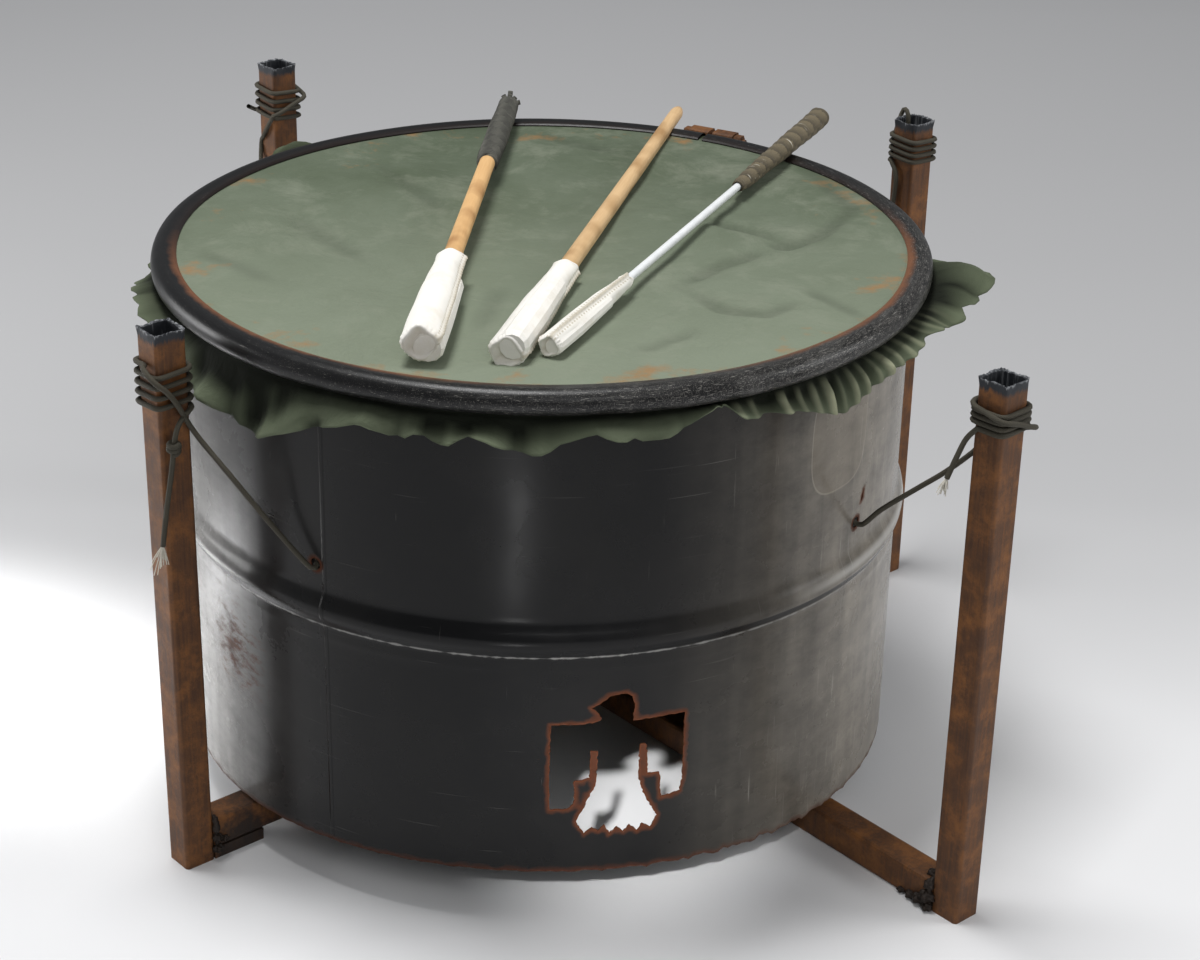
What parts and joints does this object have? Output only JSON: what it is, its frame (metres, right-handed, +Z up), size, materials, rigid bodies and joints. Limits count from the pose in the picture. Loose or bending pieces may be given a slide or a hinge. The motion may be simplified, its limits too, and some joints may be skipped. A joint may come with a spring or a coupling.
{
  "type": "powwow drum",
  "caption": "Canvas-headed drum made from a steel drum's upper half, tied with cords in a welded four-post stand, with padded beaters lying on its head.",
  "frame": {"origin": "on the floor where the stand's two base tubes cross", "axes": "+Z up, +Y away from the side that shows the cut-out figure, +X to the right seen from there"},
  "size_m": [0.6617, 0.734, 0.4656],
  "materials": {
    "black_enamel": "worn satin",
    "rusty_steel": "rusty",
    "weld_metal": "slaggy",
    "bolt_steel": "worn",
    "tent_canvas": "faded",
    "olive_cord": "braided",
    "white_leather": "matt",
    "wood": "worn varnish",
    "fibreglass": "satin",
    "felt": "felted",
    "grey_cloth": "wound",
    "olive_cloth": "wound"
  },
  "bodies": {
    "stand": {"post_front_right": "rusty_steel", "post_front_left": "rusty_steel", "post_back_right": "rusty_steel", "post_back_left": "rusty_steel", "weld_post_front_right": "weld_metal", "weld_post_front_left": "weld_metal", "weld_post_back_right": "weld_metal", "weld_post_back_left": "weld_metal", "weld_crossing": "weld_metal", "base_tube_lower": "rusty_steel", "base_tube_raised": "rusty_steel", "spacer_front_left": "rusty_steel", "spacer_back_right": "rusty_steel", "cord_front_right": "olive_cord", "cord_front_left": "olive_cord", "cord_back_right": "olive_cord", "cord_back_left": "olive_cord"},
    "drum": {"shell": "black_enamel", "closing_ring": "black_enamel", "lug_left": "rusty_steel", "lug_right": "rusty_steel", "ring_nut": "bolt_steel", "canvas_head": "tent_canvas", "knot_front_right": "olive_cord", "knot_front_left": "olive_cord", "knot_back_right": "olive_cord", "knot_back_left": "olive_cord"},
    "bolt": {"ring_bolt": "bolt_steel"},
    "beater_left": {"beater_left_cover": "white_leather", "beater_left_grip": "grey_cloth", "beater_left_padding": "felt", "beater_left_shaft": "wood"},
    "beater_middle": {"beater_middle_cover": "white_leather", "beater_middle_padding": "felt", "beater_middle_shaft": "wood"},
    "beater_right": {"beater_right_cover": "white_leather", "beater_right_grip": "olive_cloth", "beater_right_padding": "felt", "beater_right_shaft": "fibreglass"}
  },
  "joints": [
    {"name": "drum_lift", "type": "slide", "parent": "stand", "child": "drum", "axis": [0, 0, 1], "range_m": [0, 0.03], "deforming": ["cord_front_right", "cord_front_left", "cord_back_right", "cord_back_left"]},
    {"name": "ring_bolt_turn", "type": "hinge", "parent": "drum", "child": "bolt", "pos_m": [0.09733, 0.22037, 0.4322], "axis": [-0.891, 0.454, 0], "continuous": true},
    {"name": "beater_left_lift", "type": "slide", "parent": "drum", "child": "beater_left", "axis": [0, 0, 1], "range_m": [0, 0.3]},
    {"name": "beater_middle_lift", "type": "slide", "parent": "drum", "child": "beater_middle", "axis": [0, 0, 1], "range_m": [0, 0.3]},
    {"name": "beater_right_lift", "type": "slide", "parent": "drum", "child": "beater_right", "axis": [0, 0, 1], "range_m": [0, 0.3]}
  ]
}
